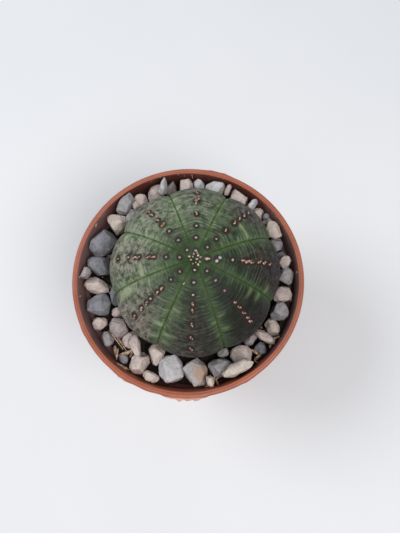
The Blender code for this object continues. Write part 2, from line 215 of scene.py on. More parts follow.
# %% A finish
class Finish(Wires):
    """A material: colours are mixed, numbers are wired, and done() joins them to the shader."""

    def __init__(self, name):
        self.material = bpy.data.materials.new(name)
        self.material.use_nodes = True
        super().__init__(self.material.node_tree)
        self.tree.nodes.clear()
        spot = self.value("ShaderNodeTexCoord", output=3)
        self.place = self.on_vector("SCALE", spot, Scale=1000)

    def noise(self, size, detail=3, rough=0.55, at=None, warp=0):
        """Cloudy noise about 0.5; size is the width of one cloud in millimetres."""
        values = {"Vector": at or self.place, "Scale": 1 / size, "Detail": detail}
        values |= {"Roughness": rough, "Distortion": warp}
        return self.value("ShaderNodeTexNoise", {}, values)

    def cells(self, size):
        """Distance to the nearest point of a scatter whose points are size apart."""
        return self.value("ShaderNodeTexVoronoi", {}, {"Vector": self.place, "Scale": 1 / size})

    def measure(self, name):
        """A number that the piece carries on its points."""
        return self.value("ShaderNodeAttribute", {"attribute_name": name}, output=2)

    def mix(self, share, below, above):
        below, above = [c if isinstance(c, Value) else (*c, 1) for c in (below, above)]
        colours = {0: share, 6: below, 7: above}
        return self.value("ShaderNodeMix", {"data_type": "RGBA"}, colours, output=2)

    def coats(self, colour, *layers):
        """Lays colours one over another; each layer is the share it covers and its colour."""
        for share, above in layers:
            colour = self.mix(share, colour, above)
        return colour

    def done(self, colour, rough, height, relief, **plain):
        """Joins the shader; height is in millimetres times relief."""
        bump = {"Height": height, "Strength": 1, "Distance": relief * MM}
        values = {"Base Color": colour, "Roughness": rough}
        if height is not None:
            values["Normal"] = self.value("ShaderNodeBump", {}, bump)
        values |= {name.replace("_", " "): number for name, number in plain.items()}
        shader = self.value("ShaderNodeBsdfPrincipled", {}, values)
        self.node("ShaderNodeOutputMaterial", {}, {"Surface": shader})


print("finishes ready")

# %% [markdown]
# ## How a shape is written
# A Recipe is a Geometry Nodes tree with named sizes. Its result is baked to a plain mesh straight
# away, so what is kept is geometry and not a modifier, and the recipe can be read and reused.

# %% A recipe
KINDS = {
    float: "NodeSocketFloat", int: "NodeSocketInt",
    bpy.types.Object: "NodeSocketObject", bpy.types.Material: "NodeSocketMaterial",
}


class Recipe(Wires):
    """A Geometry Nodes tree with named inputs that ends in real, finished geometry."""

    def __init__(self, name, **sizes):
        super().__init__(bpy.data.node_groups.new(name, "GeometryNodeTree"))
        face = self.tree.interface
        face.new_socket("Geometry", in_out="INPUT", socket_type="NodeSocketGeometry")
        face.new_socket("Geometry", in_out="OUTPUT", socket_type="NodeSocketGeometry")
        self.keys = {}
        for label, kind in (sizes | {"Finish": bpy.types.Material}).items():
            socket = face.new_socket(label, in_out="INPUT", socket_type=KINDS[kind])
            self.keys[label] = socket.identifier
        self.start = self.tree.nodes.new("NodeGroupInput")

    def size(self, label):
        return Value(self, self.start.outputs[label])

    def carry(self, geometry, name, number):
        """Stores a number on the points under a name that a finish can read."""
        values = {"Geometry": geometry, "Name": name, "Value": number}
        return self.value("GeometryNodeStoreNamedAttribute", {}, values)

    def read(self, name):
        vector = {"data_type": "FLOAT_VECTOR"}
        return self.value("GeometryNodeInputNamedAttribute", vector, {"Name": name})

    def shape_of(self, label):
        """The geometry of an object that is handed in."""
        return self.value("GeometryNodeObjectInfo", {}, {"Object": self.size(label)}, output=4)

    def end(self, geometry):
        real = self.value("GeometryNodeRealizeInstances", {}, {"Geometry": geometry})
        shaded = self.value("GeometryNodeSetShadeSmooth", {}, {"Geometry": real})
        finish = {"Geometry": shaded, "Material": self.size("Finish")}
        coated = self.value("GeometryNodeSetMaterial", {}, finish)
        self.node("NodeGroupOutput", {}, {"Geometry": coated})

    def make(self, name, finish, base=None, **sizes):
        """Runs the recipe on a base mesh and returns an object with the plain result."""
        piece = bpy.data.objects.new(name, base or bpy.data.meshes.new(name))
        bpy.context.scene.collection.objects.link(piece)
        recipe = piece.modifiers.new("recipe", "NODES")
        recipe.node_group = self.tree
        for label, size in (sizes | {"Finish": finish and finish.material}).items():
            recipe[self.keys[label]] = size
        bake(piece)
        print(name, len(piece.data.polygons), "faces")
        return piece


print("recipes ready")

# %% Helpers for pieces
def bake(piece):
    """Turns a piece and its modifiers into one plain mesh."""
    settled = bpy.context.evaluated_depsgraph_get()
    evaluated = piece.evaluated_get(settled)
    keep = {"preserve_all_data_layers": True, "depsgraph": settled}
    mesh = bpy.data.meshes.new_from_object(evaluated, **keep)
    piece.modifiers.clear()
    piece.data = mesh
    mesh.name = piece.name


def smooth(mesh):
    mesh.polygons.foreach_set("use_smooth", [True] * len(mesh.polygons))


def dress(piece, finish):
    """Gives a piece one finish and no other."""
    piece.data.materials.clear()
    piece.data.materials.append(finish.material)


def belongs(piece, slot, *nodes):
    """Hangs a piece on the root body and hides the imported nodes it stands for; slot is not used."""
    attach(piece, "root")
    if nodes:
        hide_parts(*nodes)


def object_of(bm, name, scale=MM):
    """A smooth-shaded object from a bmesh drawn in millimetres."""
    bmesh.ops.scale(bm, vec=(scale,) * 3, verts=bm.verts)
    mesh = bpy.data.meshes.new(name)
    bm.to_mesh(mesh)
    bm.free()
    smooth(mesh)
    piece = bpy.data.objects.new(name, mesh)
    bpy.context.scene.collection.objects.link(piece)
    return piece


print("helpers for pieces ready")

# %% [markdown]
# ## The floor
# A plain pale board, so that the colours of the plant are judged against something neutral.

# %% Pale floor
floor_paint = Finish("pale_board")
board = floor_paint.mix(floor_paint.noise(60), (0.70, 0.71, 0.73), (0.76, 0.765, 0.78))
floor_paint.done(board, 0.7 + 0.1 * floor_paint.noise(3), None, 0, Specular_IOR_Level=0.3)
plane = bmesh.new()
bmesh.ops.create_grid(plane, x_segments=1, y_segments=1, size=1500)
floor = object_of(plane, "floor")
dress(floor, floor_paint)
print("floor laid")

# %% [markdown]
# ## The body of the plant: a shape that follows a rule
# A ball euphorbia is a low dome with a dimple where new skin forms. Eight blunt ribs meet in narrow
# creases. Rule by rule: a flat grid is rolled round the stem's axis, each ring takes its radius and
# height from a squarish quarter arc, and the ribs pull the skin in towards each crease, first
# gently and then sharply. Geometry Nodes suit this: the sizes stay named and can be tried.

# %% Sizes of the body
SIDES, RINGS, RIBS = 320, 236, 8
CROWN_SHARE, UNDER_SHARE = 0.84, 0.08  # shares of the rings that go to the dome and the underside
CROWN_HEIGHT, LEAN = 12.2, (0.45, 0.6)  # mm; the crown leans that far from the middle
SWAY = 2.6  # degrees that the crests swing round on the far side
SHARPNESS = 11  # power of the sharp part of a crease
BODY = {
    "Middle X": PLANT_MIDDLE.x * MM, "Middle Y": PLANT_MIDDLE.y * MM,
    "Widest At": (PLANT_TOP - CROWN_HEIGHT) * MM, "Radius": PLANT_RADIUS * MM,
    "Crown": (CROWN_HEIGHT + 0.1) * MM, "Underside": 14.5 * MM, "Neck": 5.5 * MM, "Root": 17 * MM,
    "Dip": 1.0 * MM, "Dip Radius": 2.2 * MM, "Squareness": 2.3, "Ribs": RIBS,
    "Rib Depth": 1.15 * MM, "Lean X": LEAN[0] * MM, "Lean Y": LEAN[1] * MM,
    "Sway": math.radians(SWAY), "Sides": SIDES, "Rings": RINGS,
}
ribbed = Recipe("ribbed_body", **{name: type(number) for name, number in BODY.items()})
size = ribbed.size
print("sizes of the body:", len(BODY))

# %% Outline of the body
rows = {"Size X": 1, "Size Y": 1, "Vertices X": size("Sides") + 1, "Vertices Y": size("Rings")}
sheet = ribbed.value("GeometryNodeMeshGrid", {}, rows)
across, down, _ = ribbed.parts(ribbed.value("GeometryNodeInputPosition"))
around, along = (across + 0.5).held(), (down + 0.5).held()
root_share = 1 - CROWN_SHARE - UNDER_SHARE
power = 2 / size("Squareness")
crown = (along / CROWN_SHARE).held() * (math.pi / 2)
under_end = ((size("Neck") / size("Radius")) ** (1 / power)).math("ARCCOSINE")
under = ((along - CROWN_SHARE) / UNDER_SHARE).held() * under_end
root = ((along - CROWN_SHARE - UNDER_SHARE) / root_share).held()
radius = size("Radius") * crown.math("SINE").held() ** power * under.math("COSINE").held() ** power
radius = radius * (1 - 0.78 * root ** 0.7) * (1 - root ** 16).held() ** 0.5
height = size("Widest At") + size("Crown") * crown.math("COSINE").held() ** power
height = height - size("Underside") * under.math("SINE").held() ** power - size("Root") * root
height = height - size("Dip") * (-1 * (radius / size("Dip Radius")) ** 2).math("EXPONENT")
print("outline:", len(ribbed.tree.nodes), "nodes")

# %% Ribs of the body
share = (radius / size("Radius")).held()
rib = around * size("Ribs")
from_crest = (rib - rib.math("ROUND")).math("ABSOLUTE") * 2
fold = 0.62 * from_crest ** 1.7 + 0.38 * from_crest ** SHARPNESS
ribbed_out = radius - size("Rib Depth") * share * share * (3 - 2 * share) * fold
turn = around * math.tau
turn = turn - size("Sway") * (1 - turn.math("COSINE"))
x = size("Middle X") + size("Lean X") * (1 - share) + ribbed_out * turn.math("COSINE")
y = size("Middle Y") + size("Lean Y") * (1 - share) + ribbed_out * turn.math("SINE")

sheet = ribbed.carry(ribbed.carry(sheet, "along", along), "from_crest", from_crest)
rolled = {"Geometry": sheet, "Position": ribbed.vector(x, y, height)}
rolled = ribbed.value("GeometryNodeSetPosition", {}, rolled)
rolled = {"Geometry": rolled, "Distance": 1e-6}
ribbed.end(ribbed.value("GeometryNodeMergeByDistance", {}, rolled))
print("ribbed body recipe:", len(ribbed.tree.nodes), "nodes")

# %% Grow the body
body = ribbed.make("plant_body", None, **BODY)
bm = bmesh.new()
bm.from_mesh(body.data)
bmesh.ops.recalc_face_normals(bm, faces=bm.faces)
open_edges = sum(1 for e in bm.edges if len(e.link_faces) != 2)
bm.to_mesh(body.data)
bm.free()
smooth(body.data)
top = max(v.co.z for v in body.data.vertices) / MM
print("open edges:", open_edges, "top:", round(top, 2), "mm")

# %% [markdown]
# ## Measuring the skin
# The marks on the skin lie at distances along it, not in the air: how far down from the crown, how
# far from the nearest crest and crease. Each point of the mesh gets these lengths once, in
# millimetres, and the finish and the scars both use them.

# %% Numbers on the points
def column(mesh, name, width=1):
    """A mesh's point numbers as an array."""
    numbers = np.empty(len(mesh.vertices) * width, np.float32)
    mesh.attributes[name].data.foreach_get("value" if width == 1 else "vector", numbers)
    return numbers if width == 1 else numbers.reshape(-1, width)


def carry(name, numbers):
    """Stores one number per point of the body for a finish to read."""
    layer = body.data.attributes.get(name) or body.data.attributes.new(name, "FLOAT", "POINT")
    layer.data.foreach_set("value", np.asarray(numbers, np.float32))


points = column(body.data, "position", 3) / MM
along, from_crest = column(body.data, "along"), column(body.data, "from_crest")
print("points on the body:", len(points))

# %% Lengths along the skin
share = np.hypot(points[:, 0] - PLANT_MIDDLE.x, points[:, 1] - PLANT_MIDDLE.y)
share = np.clip(share / PLANT_RADIUS, 0, 1)
offset = points[:, :2] - (PLANT_MIDDLE.x, PLANT_MIDDLE.y) - np.outer(1 - share, LEAN)
degrees = np.degrees(np.arctan2(offset[:, 1], offset[:, 0])) % 360
out = np.hypot(*offset.T)

levels = np.unique(np.round(along, 5))
ring = np.searchsorted(levels, np.round(along, 5))
crest = (from_crest < 0.01) | (out < 0.1)
ring_out, ring_up = [
    np.array([v[(ring == i) & crest].mean() for i in range(len(levels))])
    for v in (out, points[:, 2])
]
steps = np.hypot(np.diff(ring_out), np.diff(ring_up))
arc = np.concatenate([[0], np.cumsum(steps)])[ring]
half_rib = math.pi * out / RIBS
carry("arc", arc)
carry("crest_mm", from_crest * half_rib)
carry("crease_mm", (1 - from_crest) * half_rib)
print("crown to widest part:", round(float(arc[along <= CROWN_SHARE].max()), 1), "mm of skin")

# %% [markdown]
# ## Where the skin has aged
# Young skin by the crown is green. Lower down the crests turn brown and then purplish where the sun
# reaches them, and one shoulder has gone to cork. Some growth spurts left a pale yellow-green band
# next to a crease. Each of these is a soft patch, written as the bearing and the length down the
# skin where it lies.

# %% How a patch and a band are laid
def ease(low, high, v):
    t = np.clip((v - low) / (high - low), 0, 1)
    return t * t * (3 - 2 * t)


def bearing_gap(a, b):
    return np.abs((a - b + 180) % 360 - 180)


def facing(bearing):
    """1 on the side of the plant that faces the bearing, 0 on the far side."""
    return 0.5 + 0.5 * np.cos(np.radians(degrees - bearing))


def wedge(bearing, start, end, width, strength):
    """A patch on one crest: it starts at a point and widens down the skin."""
    spread = width * ease(start, end, arc) + 2
    aside = ease(0.45 * spread, 1.15 * spread, bearing_gap(degrees, bearing))
    return strength * ease(start - 1, start + 2.5, arc) * (1 - aside)


def band(start, stop, level_a, level_b, thick, strength):
    """A stripe of pale skin across part of a rib."""
    share = np.clip((degrees - start) / (stop - start), 0, 1)
    level = level_a + (level_b - level_a) * share
    inside = ease(start - 1.5, start + 2.5, degrees) * (1 - ease(stop - 2.5, stop + 1, degrees))
    return strength * inside * np.exp(-(((arc - level) / thick) ** 2))


print("crest of the body:", int(crest.sum()), "points")

# %% Brown, purple, cork and pale skin
PATCHES = {  # bearing, starts at, full at, half width, strength
    "brown": [
        (0, 6, 17, 19, 0.95), (44, 11, 18, 15, 0.5), (88, 12.5, 18, 10, 0.45),
        (129, 11, 18, 14, 0.75), (174, 5, 15, 17, 0.8), (220, 7, 17, 18, 0.9),
        (270, 8, 18, 20, 0.9), (315, 9.5, 18, 19, 0.85),
    ],
    "purple": [
        (355, 15.5, 21, 17, 1.0), (45, 13.5, 18, 14, 0.9), (89, 15.5, 19, 10, 0.8),
        (128, 16, 20, 9, 0.5), (270, 18, 24, 20, 0.8), (316, 16.5, 21, 20, 1.0),
    ],
    "cork": [(222, 15.5, 20, 19, 1.0), (268, 15, 21, 12, 0.45), (174, 17, 22, 12, 0.35)],
}
BANDS = [  # from, to, length down the skin at each end, half thickness, strength
    (24, 42, 13.8, 13.2, 0.4, 0.9), (24, 34, 8.5, 8.3, 0.2, 0.3), (60, 66, 5.2, 5.0, 0.35, 0.35),
    (67, 76, 18.1, 17.6, 0.4, 0.5), (103, 112, 13.9, 13.5, 0.5, 0.75),
    (104, 113, 17.4, 17.2, 0.5, 1.0), (145, 154, 13.2, 12.8, 0.4, 0.45),
    (155, 163, 18.2, 17.8, 0.7, 0.8), (180, 198, 12.3, 12.0, 0.4, 0.6),
    (199, 207, 17.5, 17.5, 2.4, 0.8), (226, 245, 15.7, 16.6, 0.45, 0.9),
    (232, 245, 20.2, 20.2, 0.4, 0.7), (246, 256, 11.7, 11.9, 0.3, 0.7),
    (246, 259, 18.2, 17.6, 0.5, 0.95), (246, 254, 20.5, 20.5, 0.8, 0.6),
    (285, 292, 14.6, 14.9, 0.35, 0.8), (286, 292, 18.0, 18.4, 0.4, 0.6),
    (293, 302, 13.8, 13.2, 0.3, 0.7), (293, 303, 16.9, 16.7, 0.4, 1.0),
    (293, 312, 5.4, 5.0, 0.3, 0.25), (318, 337, 13.7, 14.6, 0.4, 0.95),
    (327, 337, 16.4, 17.2, 0.5, 1.0), (337, 348, 18.8, 18.4, 0.5, 0.95),
]
LIT_BEARING, SHADED_BEARING = 150, 310  # bearings of the side painted lighter as painted light, and of the side painted darker as painted shade
for name, patches in PATCHES.items():
    carry(name, np.clip(np.max([wedge(*patch) for patch in patches], axis=0), 0, 1))
# One side of the plant is painted lighter as painted light, and the far side darker as painted shade.
carry("sun_side", facing(LIT_BEARING) * ease(3, 16, arc))
carry("deep_side", facing(SHADED_BEARING) ** 2 * ease(1, 9, arc))
carry("pale", np.clip(np.sum([band(*row) for row in BANDS], axis=0), 0, 1))
print("patches:", sum(map(len, PATCHES.values())), "bands:", len(BANDS))

# %% [markdown]
# ## Flower scars
# Every crest carries a row of scars, about 3 mm apart. The youngest are small grey dots; further
# down dried flower stalks are left as pinkish stubs, sometimes two side by side. They are the same
# small lump over and over, so a recipe places one lump on a list of points, each with its own turn
# and size, laid flat on the skin.

# %% Recipe that sets copies on points
placed = Recipe("copies_on_points", Copy=bpy.types.Object, **{"Overall Size": float})
copies = {
    "Points": placed.size("Geometry"),
    "Instance": placed.shape_of("Copy"),
    "Rotation": placed.value("FunctionNodeEulerToRotation", {}, {0: placed.read("turn")}),
    "Scale": placed.on_vector("SCALE", placed.read("size"), Scale=placed.size("Overall Size")),
}
placed.end(placed.value("GeometryNodeInstanceOnPoints", {}, copies))


def set_copies(name, copy, spots, finish):
    """Copies one shape to spots of (place, turn, size), all in millimetres."""
    base = bpy.data.meshes.new(name + "_spots")
    base.from_pydata([Vector(spot[0]) * MM for spot in spots], [], [])
    for column_name, which in (("turn", 1), ("size", 2)):
        layer = base.attributes.new(column_name, "FLOAT_VECTOR", "POINT")
        layer.data.foreach_set("vector", [c for spot in spots for c in spot[which]])
    return placed.make(name, finish, base, Copy=copy, **{"Overall Size": MM})


shapes = []


def lump(name, detail, rough, seed, squash=1.0):
    """A small uneven ball, one unit across, that is copied many times and never shown itself."""
    bm = bmesh.new()
    bmesh.ops.create_icosphere(bm, subdivisions=detail, radius=0.5)
    for v in bm.verts:
        v.co *= 1 + rough * noise.noise(v.co * 2.3 + Vector((seed, seed, seed)))
        v.co.z *= squash
    shapes.append(object_of(bm, name, 1))
    return shapes[-1]


print("copies recipe:", len(placed.tree.nodes), "nodes")

# %% Places on the skin
normals = np.empty(len(body.data.vertices) * 3, np.float32)
body.data.vertex_normals.foreach_get("vector", normals)
normals = normals.reshape(-1, 3)
RADIAN = 57.3  # degrees


def on_skin(crest, length, aside=0.0, lift=0.0):
    """Place, turn and point number of a mark on the skin; aside is in degrees of bearing."""
    at_crest = crest * 360 / RIBS
    bearing = at_crest - SWAY * (1 - math.cos(math.radians(at_crest))) + aside
    miss = (bearing_gap(degrees, bearing) / RADIAN * np.maximum(out, 0.5)) ** 2
    miss = miss + (arc - length) ** 2 + (along > CROWN_SHARE + 0.01) * 1e6
    at = int(np.argmin(miss))
    up = Vector(normals[at].tolist())
    away = Vector((math.cos(math.radians(bearing)), math.sin(math.radians(bearing)), 0))
    away = (away - up * away.dot(up)).normalized()
    turn = Matrix((away, up.cross(away), up)).transposed().to_euler()
    return Vector(points[at].tolist()) + up * lift, turn, at


print("first crest, 5 mm down:", [round(c, 1) for c in on_skin(0, 5)[0]])

# %% Scars along the crests
# Length down the skin in mm and kind: d is a dot, g two dots, s a stub, f a flat stub, w three
# stubs abreast, l a ridge of stubs and c a cream scale.
SCARS = (
    "2.6c 5.0g 8.3d 11.3l 14.5s 15.9s 17.6f", "3.7d 6.6d 9.5f 12.6f 14.3s 16.2f 18.3f",
    "1.9d 4.8d 7.7d 10.7s 14.6l 17.6f", "2.7d 5.6d 8.6d 11.0w 12.6s 15.0s 16.4s",
    "3.4d 6.2d 8.8s 9.9s 12.3s 13.2s 15.1s 18.3f", "4.2d 6.7d 9.2s 10.5s 12.5d 13.7s 15.6s 18.4f",
    "2.4d 5.1d 7.6d 9.4s 10.8s 13.7s 16.8f 20.0f", "3.7d 6.4d 9.3d 12.5s 14.0s 15.7s 17.3s 18.6f",
)
shake = random.Random(11)
dots, stubs, tips, halo = [], [], [], np.zeros(len(points))
for crest, marks in enumerate(SCARS):
    for mark in marks.split():
        length, kind = float(mark[:-1]), mark[-1]
        place, turn, at = on_skin(crest, length, shake.uniform(-0.6, 0.6))
        reach = np.sum((points - points[at]) ** 2, axis=1)
        halo = np.maximum(halo, np.exp(-reach / (0.75 if kind in "ds" else 0.95) ** 2))
        wobble = shake.uniform(0.85, 1.15)

        def sit(pile, down, aside, lift, *size):
            there = on_skin(crest, length + down, aside, lift)[0]
            pile.append((there, turn, Vector(size) * wobble))

        if kind == "d":
            dots.append((place, turn, Vector((0.50, 0.58, 0.34)) * wobble))
            sit(dots, 0, shake.uniform(-4, 4) / max(length, 2), 0.14, 0.26, 0.28, 0.3)
        elif kind in "sf":
            flat = 0.55 if kind == "f" else 1
            stubs.append((place, turn, Vector((0.62, 0.38, 0.52 * flat)) * wobble))
            sit(stubs, 0.35, 1.2, 0.1, 0.44, 0.28, 0.42 * flat)
        elif kind == "l":
            for step, thick in ((-0.75, 0.6), (0, 0.85), (0.7, 0.7), (1.2, 0.5)):
                sit(stubs, step, shake.uniform(-1, 1), 0.12, 0.85, thick * 0.75, 0.6)
        elif kind == "g":
            for side, step in ((-5.0, -0.3), (3.5, 0.35)):
                sit(dots, step, side, 0.06, 0.75, 0.8, 0.34)
        elif kind == "w":
            for side in (-2.6, 0.4, 2.8):
                aside = side * 11 / (length + 5)
                sit(stubs, shake.uniform(-0.4, 0.5), aside, 0.1, 0.6, 0.46, 0.5)
        else:
            tips.append((on_skin(crest, length, 0, 0.1)[0], turn, Vector((1.2, 0.62, 0.45))))
carry("halo", np.clip(halo, 0, 1))
print("dots:", len(dots), "stub lumps:", len(stubs))

# %% [markdown]
# ## The finish of the skin
# The skin is matt and waxy. Fine pale growth lines cross it at right angles to the ribs, and they
# come and go along their length. So the noise is stretched round the stem: its first two numbers
# are the bearing, the third is the length down the skin. Over the green come pale bands, then the
# aged patches with ragged edges, painted light on one side and painted shade on the other, the
# bright crease with a line of painted shade in it, the scars' brown rims, and last painted shade
# in the crown's dip.

# %% Coordinates of the skin
skin = Finish("euphorbia_skin")
arc_mm, crest_mm, crease_mm = map(skin.measure, ("arc", "crest_mm", "crease_mm"))
middle = Vector((PLANT_MIDDLE.x, PLANT_MIDDLE.y, 0))
spoke = skin.on_vector("MULTIPLY", skin.on_vector("SUBTRACT", skin.place, middle), (1, 1, 0))
px, py, _ = skin.parts(skin.on_vector("NORMALIZE", spoke))
level = arc_mm + 0.024 * crest_mm * crease_mm + 0.05 * crest_mm + 0.4 * (skin.noise(4, 2) - 0.5)


def streaks(round_size, down_size, detail=2, seed=0.0):
    """Noise stretched round the stem, for growth lines."""
    x, y = px * (1 / round_size) + seed, py * (1 / round_size)
    return skin.noise(1, detail, 0.5, at=skin.vector(x, y, level * (1 / down_size)))


def grooves(round_size, down_size):
    """Noise stretched down the skin, for the cracks in cork."""
    x, y = px * (1 / round_size), py * (1 / round_size)
    return skin.noise(1, 3, 0.6, at=skin.vector(x, y, arc_mm * (1 / down_size)))


print("skin coordinates:", len(skin.tree.nodes), "nodes")

# %% Growth lines and mottling
LINE_GAP = 0.84  # mm from one growth line to the next
along_gap = (level / LINE_GAP + 0.9 * (streaks(0.8, 3.0, 1, 4.0) - 0.5)).math("FRACT")
stripe = 1 - ((along_gap - 0.5).math("ABSOLUTE") * 2).between(0.22, 0.60)
lines = stripe * streaks(0.30, 0.9).between(0.42, 0.60) * arc_mm.between(3.5, 9)
fine_lines = streaks(0.35, 0.20, 2, 7.0).between(0.54, 0.66) * arc_mm.between(2.5, 7)
mottle = skin.noise(1.1, 4, 0.65)
grain = skin.noise(0.28, 3, 0.6)
cracks = grooves(0.035, 2.4).between(0.42, 0.62)
print("skin with its lines:", len(skin.tree.nodes), "nodes")

# %% Greens
near_crown = 1 - arc_mm.between(1.5, 5.5)
shy = 1 - 0.65 * near_crown
broad = streaks(0.55, 1.6, 2, 3.0)
fresh = (1 - crease_mm.between(0.2, 1.3)) * (0.20 + 0.60 * arc_mm.between(3, 12))
pale = (skin.measure("pale") * (0.55 + 0.9 * streaks(0.3, 0.3, 3, 5.0))).held()
green = skin.coats(
    skin.mix(broad.between(0.36, 0.64), (0.012, 0.026, 0.009), (0.042, 0.074, 0.030)),
    (mottle.between(0.5, 0.68) * 0.45, (0.008, 0.017, 0.006)),
    (near_crown * 0.55, (0.022, 0.044, 0.014)),
    (fresh, (0.066, 0.120, 0.028)),
    (lines * 0.54 * shy * (0.35 + mottle.between(0.35, 0.7)), (0.195, 0.245, 0.155)),
    (fine_lines * 0.32 * shy, (0.200, 0.250, 0.175)),
    (pale * 0.85, (0.250, 0.320, 0.135)),
)
print("skin with its greens:", len(skin.tree.nodes), "nodes")

# %% Aged skin
ragged = (mottle - 0.5) * 1.2 + (streaks(0.2, 0.5, 3, 9.0) - 0.5) * 0.9
brown = (skin.measure("brown") + ragged * 0.9).between(0.28, 0.85)
purple = (skin.measure("purple") + ragged * 0.8).between(0.35, 0.9)
cork = (skin.measure("cork") + ragged * 0.7).between(0.3, 0.8)
tan_share = (0.5 * grain + 0.5 * mottle).between(0.42, 0.64)
tan = skin.mix(tan_share, (0.014, 0.010, 0.008), (0.128, 0.100, 0.082))
tan = skin.mix((lines + fine_lines * 0.6) * 0.5, tan, (0.220, 0.200, 0.165))
plum = skin.mix(mottle.between(0.35, 0.65), (0.022, 0.014, 0.017), (0.118, 0.088, 0.104))
bark = skin.mix(cracks, (0.070, 0.050, 0.040), (0.330, 0.270, 0.235))
coat = skin.coats(green, (brown * 0.80, tan), (purple * 0.85, plum), (cork * 0.85, bark))
print("skin with its patches:", len(skin.tree.nodes), "nodes")

# %% Painted light and shade, crease lines and rims of the scars
# painted light: the side that faces the lamp is lightened to a pale grey-green
painted_light_share = (0.66 * mottle.between(0.3, 0.7) + 0.3 * pale).held()
# painted shade: the far side is darkened, more towards the crests than in the creases
shade = skin.measure("deep_side") * (0.52 + 0.33 * crease_mm.between(0.6, 3.0))
# painted shade: a thin dark line along the bottom of each crease
crease_line = 1 - crease_mm.between(0.04, 0.34)
wander = streaks(0.7, 1.8, 1, 2.0).between(0.3, 0.6) * 0.35 + 0.65
# painted shade: the dip at the crown is darkened
crown_dark = (1 - arc_mm.between(0.9, 2.1)) * (0.5 + mottle)
scar_rim = (skin.measure("halo") + (mottle - 0.5) * 0.4).between(0.18, 0.55)
coat = skin.coats(
    coat,
    (skin.measure("sun_side") * painted_light_share, (0.370, 0.385, 0.290)),
    (shade * (1 - 0.45 * arc_mm.between(19, 26)), (0.003, 0.005, 0.002)),
    (crease_line * wander * 0.9 * arc_mm.between(0.8, 2.2), (0.018, 0.042, 0.006)),
    (scar_rim * 0.9, (0.022, 0.013, 0.010)),
    (crown_dark.held() * 0.85, (0.020, 0.017, 0.008)),
)
relief = 0.55 * lines + 0.35 * fine_lines + 0.3 * grain + cork * cracks * 0.9 + 0.4 * mottle
skin.done(coat, 0.50 + 0.16 * brown + 0.12 * grain, relief, 0.10, Specular_IOR_Level=0.20)
dress(body, skin)
belongs(body, "skin", "plant")
print("skin finish:", len(skin.tree.nodes), "nodes")

# %% [markdown]
# ## Dots, stubs and the crown's tuft
# A dot is a dry, silvery pad; a stub is the pinkish base of a fallen flower stalk. At the crown a
# handful of tiny cream scale leaves stand round the growing point.

# %% Scar finishes
def dry_finish(name, cloud_size, share, dark, light, rough, relief, detail=3, fine=0.6):
    """A cloudy two-coloured finish for small dry pieces."""
    made = Finish(name)
    cloud = made.noise(cloud_size, detail, fine)
    made.done(made.mix(cloud.between(*share), dark, light), rough, cloud, relief)
    return made


pad_finish = dry_finish(
    "scar_pad", 0.35, (0.35, 0.65), (0.17, 0.145, 0.13), (0.47, 0.45, 0.43), 0.6, 0.08)
stub_finish = dry_finish(
    "dried_stalk", 0.45, (0.38, 0.60), (0.13, 0.050, 0.034), (0.56, 0.345, 0.275), 0.62, 0.08,
    fine=0.65)
tip_finish = dry_finish(
    "crown_scale", 0.5, (0.35, 0.7), (0.20, 0.175, 0.110), (0.54, 0.47, 0.365), 0.5, 0.06, 2, 0.55)
print("scar finishes: 3")

# %% Scars and crown scales
pad, stub = lump("pad_shape", 2, 0.35, 3.0), lump("stub_shape", 2, 0.7, 8.0)
belongs(set_copies("scar_dots", pad, dots, pad_finish), "skin", "plant")
belongs(set_copies("scar_stubs", stub, stubs, stub_finish), "skin", "plant")

GOLDEN_TURN = 137.5  # degrees from one leaf to the next
for i in range(12):
    bearing, reach = i * GOLDEN_TURN, 0.30 + 0.36 * math.sqrt(i)
    place = on_skin(0, reach, bearing, 0.12)[0]
    lean = Euler((0, math.radians(shake.uniform(15, 60)), math.radians(bearing)))
    lean = lean.to_matrix().to_euler()
    tips.append((place, lean, Vector((0.56, 0.44, 0.66)) * shake.uniform(0.7, 1.1)))
belongs(set_copies("crown_scales", stub, tips, tip_finish), "skin", "plant")
stray = (on_skin(5, 5.9, 25.5, 0.06)[0], Euler((0.3, 0.2, 0.9)), Vector((0.62, 0.26, 0.22)))
belongs(set_copies("stray_scale", stub, [stray], tip_finish), "skin", "plant")
print("crown scales:", len(tips))

# %% [markdown]
# ## The pot
# The pot is moulded in thin terracotta-coloured plastic. A moulded round pot is a turned shape: one
# outline drawn from the foot up the outside, over the rim and down the inside. Every corner is
# eased, because a mould has no sharp edges, and the fine groove in the rim needs points closer
# together than anything else. Where the mould halves met, the lip carries some rough flash.

# %% Outline of the pot
COLLAR_BASE, COLLAR_STEP, WALL, FOOT = 40, 0.9, 0.9, 19


def wall_at(up):
    return FOOT + (RIM_RADIUS - COLLAR_STEP - FOOT) * up / POT_HEIGHT


def eased(outline, reach):
    """The outline with each corner cut to a short curve."""
    rounded = []
    for corners in zip(outline[:-2], outline[1:-1], outline[2:]):
        before, corner, after = map(Vector, corners)
        a = corner + (before - corner).normalized() * min(reach, (before - corner).length * 0.45)
        b = corner + (after - corner).normalized() * min(reach, (after - corner).length * 0.45)
        steps = (0, 0.25, 0.5, 0.75, 1)
        rounded += [a.lerp(corner, t).lerp(corner.lerp(b, t), t) for t in steps]
    return [Vector(outline[0]), *rounded, Vector(outline[-1])]


